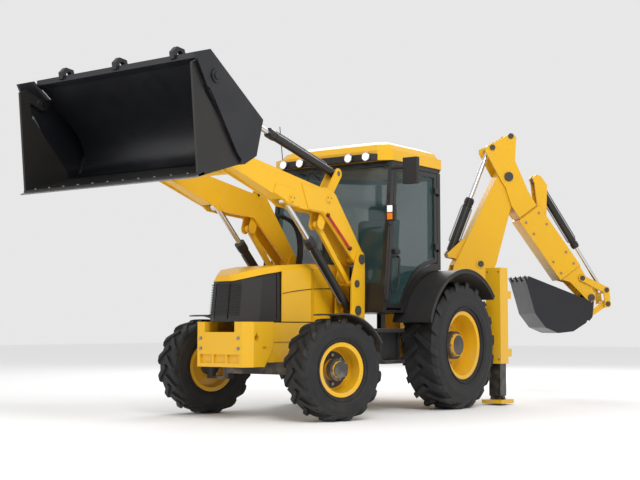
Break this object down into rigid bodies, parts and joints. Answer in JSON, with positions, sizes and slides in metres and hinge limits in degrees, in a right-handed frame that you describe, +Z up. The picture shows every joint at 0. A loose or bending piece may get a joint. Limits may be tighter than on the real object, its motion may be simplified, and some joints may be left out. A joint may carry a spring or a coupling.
{
  "type": "backhoe loader",
  "caption": "wheeled digger-loader with enclosed cab, raised front loader with a clam bucket, side-shifting backhoe on the rear and drop legs",
  "frame": {"origin": "on the ground, under the middle of the rear axle", "axes": "+X forward to the loader, +Y to the left of the machine, +Z up"},
  "size_m": [7.9456, 2.6064, 3.4413],
  "materials": {
    "body_paint": "satin",
    "black_paint": "satin",
    "dark_plastic": "matte",
    "cast_parts": "rough",
    "bucket_paint": "satin",
    "rod_chrome": "polished",
    "pin_steel": "machined",
    "tyre_rubber": "matte",
    "tinted_glass": "clear tinted"
  },
  "bodies": {
    "chassis": {"main_frame": "body_paint", "engine_block": "cast_parts", "grille": "dark_plastic", "nose_weight": "body_paint", "axles": "cast_parts", "side_boxes": "dark_plastic", "cab_shell": "black_paint", "cab_glass": "tinted_glass", "roof": "body_paint", "visor": "dark_plastic", "interior": "dark_plastic", "rear_mudguards": "dark_plastic", "mirrors": "dark_plastic"},
    "bonnet": {"bonnet": "body_paint"},
    "door_left": {"door_left": "black_paint", "door_glass_left": "tinted_glass"},
    "knuckle_left": {"knuckle_left": "cast_parts"},
    "front_wheel_left": {"front_rim_left": "body_paint", "front_tyre_left": "tyre_rubber"},
    "rear_wheel_left": {"rear_rim_left": "body_paint", "rear_tyre_left": "tyre_rubber"},
    "stabiliser_left": {"stabiliser_left": "black_paint"},
    "door_right": {"door_right": "black_paint", "door_glass_right": "tinted_glass"},
    "knuckle_right": {"knuckle_right": "cast_parts"},
    "front_wheel_right": {"front_rim_right": "body_paint", "front_tyre_right": "tyre_rubber"},
    "rear_wheel_right": {"rear_rim_right": "body_paint", "rear_tyre_right": "tyre_rubber"},
    "stabiliser_right": {"stabiliser_right": "black_paint"},
    "loader_arms": {"loader_arms": "body_paint"},
    "tip_levers": {"tip_levers": "body_paint"},
    "levelling_links": {"levelling_links": "body_paint"},
    "lift_barrels": {"lift_barrels": "black_paint"},
    "lift_rods": {"lift_rods": "rod_chrome"},
    "bucket_pins": {"bucket_pins": "pin_steel"},
    "tilt_pins": {"tilt_pins": "pin_steel"},
    "tilt_barrels": {"tilt_barrels": "black_paint"},
    "tilt_rods": {"tilt_rods": "rod_chrome"},
    "mouldboard": {"mouldboard": "bucket_paint"},
    "clam": {"clam": "black_paint"},
    "carriage": {"carriage": "body_paint"},
    "kingpost": {"kingpost": "body_paint"},
    "boom": {"boom": "body_paint"},
    "boom_barrel": {"boom_barrel": "black_paint"},
    "boom_rod": {"boom_rod": "rod_chrome"},
    "dipper_beam": {"dipper_beam": "body_paint"},
    "dipper_barrel": {"dipper_barrel": "black_paint"},
    "dipper_rod": {"dipper_rod": "rod_chrome"},
    "dipper_sleeve": {"dipper_sleeve": "body_paint"},
    "bucket_barrel": {"bucket_barrel": "black_paint"},
    "bucket_rod": {"bucket_rod": "rod_chrome"},
    "tipping_link": {"tipping_link": "body_paint"},
    "tie_link": {"tie_link": "body_paint"},
    "dig_bucket": {"dig_bucket": "bucket_paint"}
  },
  "joints": [
    {"name": "lift", "type": "hinge", "parent": "chassis", "child": "loader_arms", "pos_m": [1.27, 0, 1.62], "axis": [0, -1, 0], "range_deg": [-54, 28]},
    {"name": "lever_turn", "type": "hinge", "parent": "loader_arms", "child": "tip_levers", "pos_m": [1.83, 0, 2.21], "axis": [0, -1, 0], "range_deg": [-28.05, 54.05]},
    {"name": "link_turn", "type": "hinge", "parent": "chassis", "child": "levelling_links", "pos_m": [1.36, 0, 1.36], "axis": [0, -1, 0], "range_deg": [-54.05, 28.05]},
    {"name": "lift_barrel_turn", "type": "hinge", "parent": "chassis", "child": "lift_barrels", "pos_m": [1.34, 0, 1.08], "axis": [0, -1, 0], "range_deg": [-46.61, 24.19]},
    {"name": "lift_rod_slide", "type": "slide", "parent": "lift_barrels", "child": "lift_rods", "axis": [0.7167, 0, 0.6974], "range_m": [-0.45931, 0.23819]},
    {"name": "bucket_pin_turn", "type": "hinge", "parent": "loader_arms", "child": "bucket_pins", "pos_m": [3.55, 0, 2.45], "axis": [0, -1, 0], "range_deg": [-14.38, 27.69]},
    {"name": "bucket_tilt", "type": "hinge", "parent": "bucket_pins", "child": "mouldboard", "pos_m": [3.55, 0, 2.45], "axis": [0, -1, 0], "range_deg": [-30, 80]},
    {"name": "clam_open", "type": "hinge", "parent": "mouldboard", "child": "clam", "pos_m": [4.235, 0, 3.005], "axis": [0, -1, 0], "range_deg": [0, 80]},
    {"name": "tilt_pin_turn", "type": "hinge", "parent": "tip_levers", "child": "tilt_pins", "pos_m": [1.61, 0, 2.5], "axis": [0, -1, 0], "range_deg": [-47.72, 24.77]},
    {"name": "tilt_barrel_turn", "type": "hinge", "parent": "tilt_pins", "child": "tilt_barrels", "pos_m": [1.61, 0, 2.5], "axis": [0, -1, 0], "range_deg": [-9.88, 3.73]},
    {"name": "tilt_rod_slide", "type": "slide", "parent": "tilt_barrels", "child": "tilt_rods", "axis": [0.9664, 0, 0.257], "range_m": [-0.65644, 0.2462]},
    {"name": "bonnet_open", "type": "hinge", "parent": "chassis", "child": "bonnet", "pos_m": [1.275, 0, 1.5], "axis": [0, -1, 0], "range_deg": [0, 50]},
    {"name": "door_left_open", "type": "hinge", "parent": "chassis", "child": "door_left", "pos_m": [0.06, 0.794, 1.8], "axis": [0, 0, 1], "range_deg": [0, 90]},
    {"name": "door_right_open", "type": "hinge", "parent": "chassis", "child": "door_right", "pos_m": [0.06, -0.794, 1.8], "axis": [0, 0, -1], "range_deg": [0, 90]},
    {"name": "steer_left", "type": "hinge", "parent": "chassis", "child": "knuckle_left", "pos_m": [2.17, 0.74, 0.495], "axis": [0, 0, 1], "range_deg": [-23, 57]},
    {"name": "steer_right", "type": "hinge", "parent": "chassis", "child": "knuckle_right", "pos_m": [2.17, -0.74, 0.495], "axis": [0, 0, 1], "range_deg": [-23, 57]},
    {"name": "front_wheel_left_spin", "type": "hinge", "parent": "knuckle_left", "child": "front_wheel_left", "pos_m": [2.20801, 0.86432, 0.495], "axis": [0.2924, 0.9563, 0], "continuous": true},
    {"name": "rear_wheel_left_spin", "type": "hinge", "parent": "chassis", "child": "rear_wheel_left", "pos_m": [0, 0.88, 0.705], "axis": [0, 1, 0], "continuous": true},
    {"name": "stabiliser_left_slide", "type": "slide", "parent": "chassis", "child": "stabiliser_left", "axis": [0, 0, 1], "range_m": [-0.2, 0.35]},
    {"name": "front_wheel_right_spin", "type": "hinge", "parent": "knuckle_right", "child": "front_wheel_right", "pos_m": [2.13199, -0.86432, 0.495], "axis": [0.2924, 0.9563, 0], "continuous": true},
    {"name": "rear_wheel_right_spin", "type": "hinge", "parent": "chassis", "child": "rear_wheel_right", "pos_m": [0, -0.88, 0.705], "axis": [0, 1, 0], "continuous": true},
    {"name": "stabiliser_right_slide", "type": "slide", "parent": "chassis", "child": "stabiliser_right", "axis": [0, 0, 1], "range_m": [-0.2, 0.35]},
    {"name": "side_shift", "type": "slide", "parent": "chassis", "child": "carriage", "axis": [0, 1, 0], "range_m": [-0.1, 1]},
    {"name": "slew", "type": "hinge", "parent": "carriage", "child": "kingpost", "pos_m": [-1.36, -0.45, 0.9], "axis": [0, 0, -1], "range_deg": [-132, 48]},
    {"name": "boom_raise", "type": "hinge", "parent": "kingpost", "child": "boom", "pos_m": [-1.58294, -0.24926, 0.62], "axis": [0.6691, 0.7431, 0], "range_deg": [-88, 18]},
    {"name": "boom_barrel_turn", "type": "hinge", "parent": "kingpost", "child": "boom_barrel", "pos_m": [-1.48633, -0.33625, 1.01], "axis": [0.6691, 0.7431, 0], "range_deg": [-85.72, 17.57]},
    {"name": "boom_rod_slide", "type": "slide", "parent": "boom_barrel", "child": "boom_rod", "axis": [-0.5291, 0.4764, 0.7021], "range_m": [-0.11991, 0.58604]},
    {"name": "dipper_out", "type": "hinge", "parent": "boom", "child": "dipper_beam", "pos_m": [-2.30825, 0.40381, 2.862], "axis": [0.6691, 0.7431, 0], "range_deg": [-6, 95]},
    {"name": "dipper_barrel_turn", "type": "hinge", "parent": "boom", "child": "dipper_barrel", "pos_m": [-1.73826, -0.10941, 1.856], "axis": [0.6691, 0.7431, 0], "range_deg": [-0.11, 1.08]},
    {"name": "dipper_rod_slide", "type": "slide", "parent": "dipper_barrel", "child": "dipper_rod", "axis": [-0.2738, 0.2465, 0.9297], "range_m": [-0.66093, 0.04179]},
    {"name": "dipper_extend", "type": "slide", "parent": "dipper_beam", "child": "dipper_sleeve", "axis": [-0.4364, 0.3929, -0.8094], "range_m": [0, 0.75]},
    {"name": "bucket_crowd", "type": "hinge", "parent": "dipper_sleeve", "child": "dig_bucket", "pos_m": [-3.15398, 1.1653, 1.29333], "axis": [0.6691, 0.7431, 0], "range_deg": [-5, 150]},
    {"name": "tipping_link_turn", "type": "hinge", "parent": "dipper_sleeve", "child": "tipping_link", "pos_m": [-3.05678, 1.07779, 1.54684], "axis": [0.6691, 0.7431, 0], "range_deg": [-2.65, 78.05]},
    {"name": "tie_link_turn", "type": "hinge", "parent": "tipping_link", "child": "tie_link", "pos_m": [-3.31771, 1.31273, 1.21102], "axis": [0.6691, 0.7431, 0], "range_deg": [-30.05, 1.05]},
    {"name": "bucket_barrel_turn", "type": "hinge", "parent": "dipper_sleeve", "child": "bucket_barrel", "pos_m": [-2.62109, 0.68549, 2.84371], "axis": [0.6691, 0.7431, 0], "range_deg": [-0.35, 8.94]},
    {"name": "bucket_rod_slide", "type": "slide", "parent": "bucket_barrel", "child": "bucket_rod", "axis": [-0.3985, 0.3588, -0.8441], "range_m": [-0.40798, 0.01365]}
  ],
  "couplings": [
    {"joint": "lever_turn", "follows": "lift", "ratio": -1},
    {"joint": "link_turn", "follows": "lift", "ratio": 1},
    {"joint": "lift_barrel_turn", "follows": "lift", "ratio": 0.8622},
    {"joint": "lift_rod_slide", "follows": "lift", "m_per_rad": 0.48729},
    {"joint": "bucket_pin_turn", "follows": "lift", "ratio": -0.51185},
    {"joint": "tilt_pin_turn", "follows": "lift", "ratio": 0.88268},
    {"joint": "tilt_barrel_turn", "follows": "bucket_tilt", "ratio": -0.12282},
    {"joint": "tilt_rod_slide", "follows": "bucket_tilt", "m_per_rad": -0.4701},
    {"joint": "steer_right", "follows": "steer_left", "ratio": 1},
    {"joint": "boom_barrel_turn", "follows": "boom_raise", "ratio": 0.97348},
    {"joint": "boom_rod_slide", "follows": "boom_raise", "m_per_rad": -0.38153},
    {"joint": "dipper_barrel_turn", "follows": "dipper_out", "ratio": 0.010797},
    {"joint": "dipper_rod_slide", "follows": "dipper_out", "m_per_rad": -0.39859},
    {"joint": "tipping_link_turn", "follows": "bucket_crowd", "ratio": 0.52},
    {"joint": "tie_link_turn", "follows": "bucket_crowd", "ratio": -0.2},
    {"joint": "bucket_barrel_turn", "follows": "bucket_crowd", "ratio": 0.059248},
    {"joint": "bucket_rod_slide", "follows": "bucket_crowd", "m_per_rad": -0.15582}
  ]
}
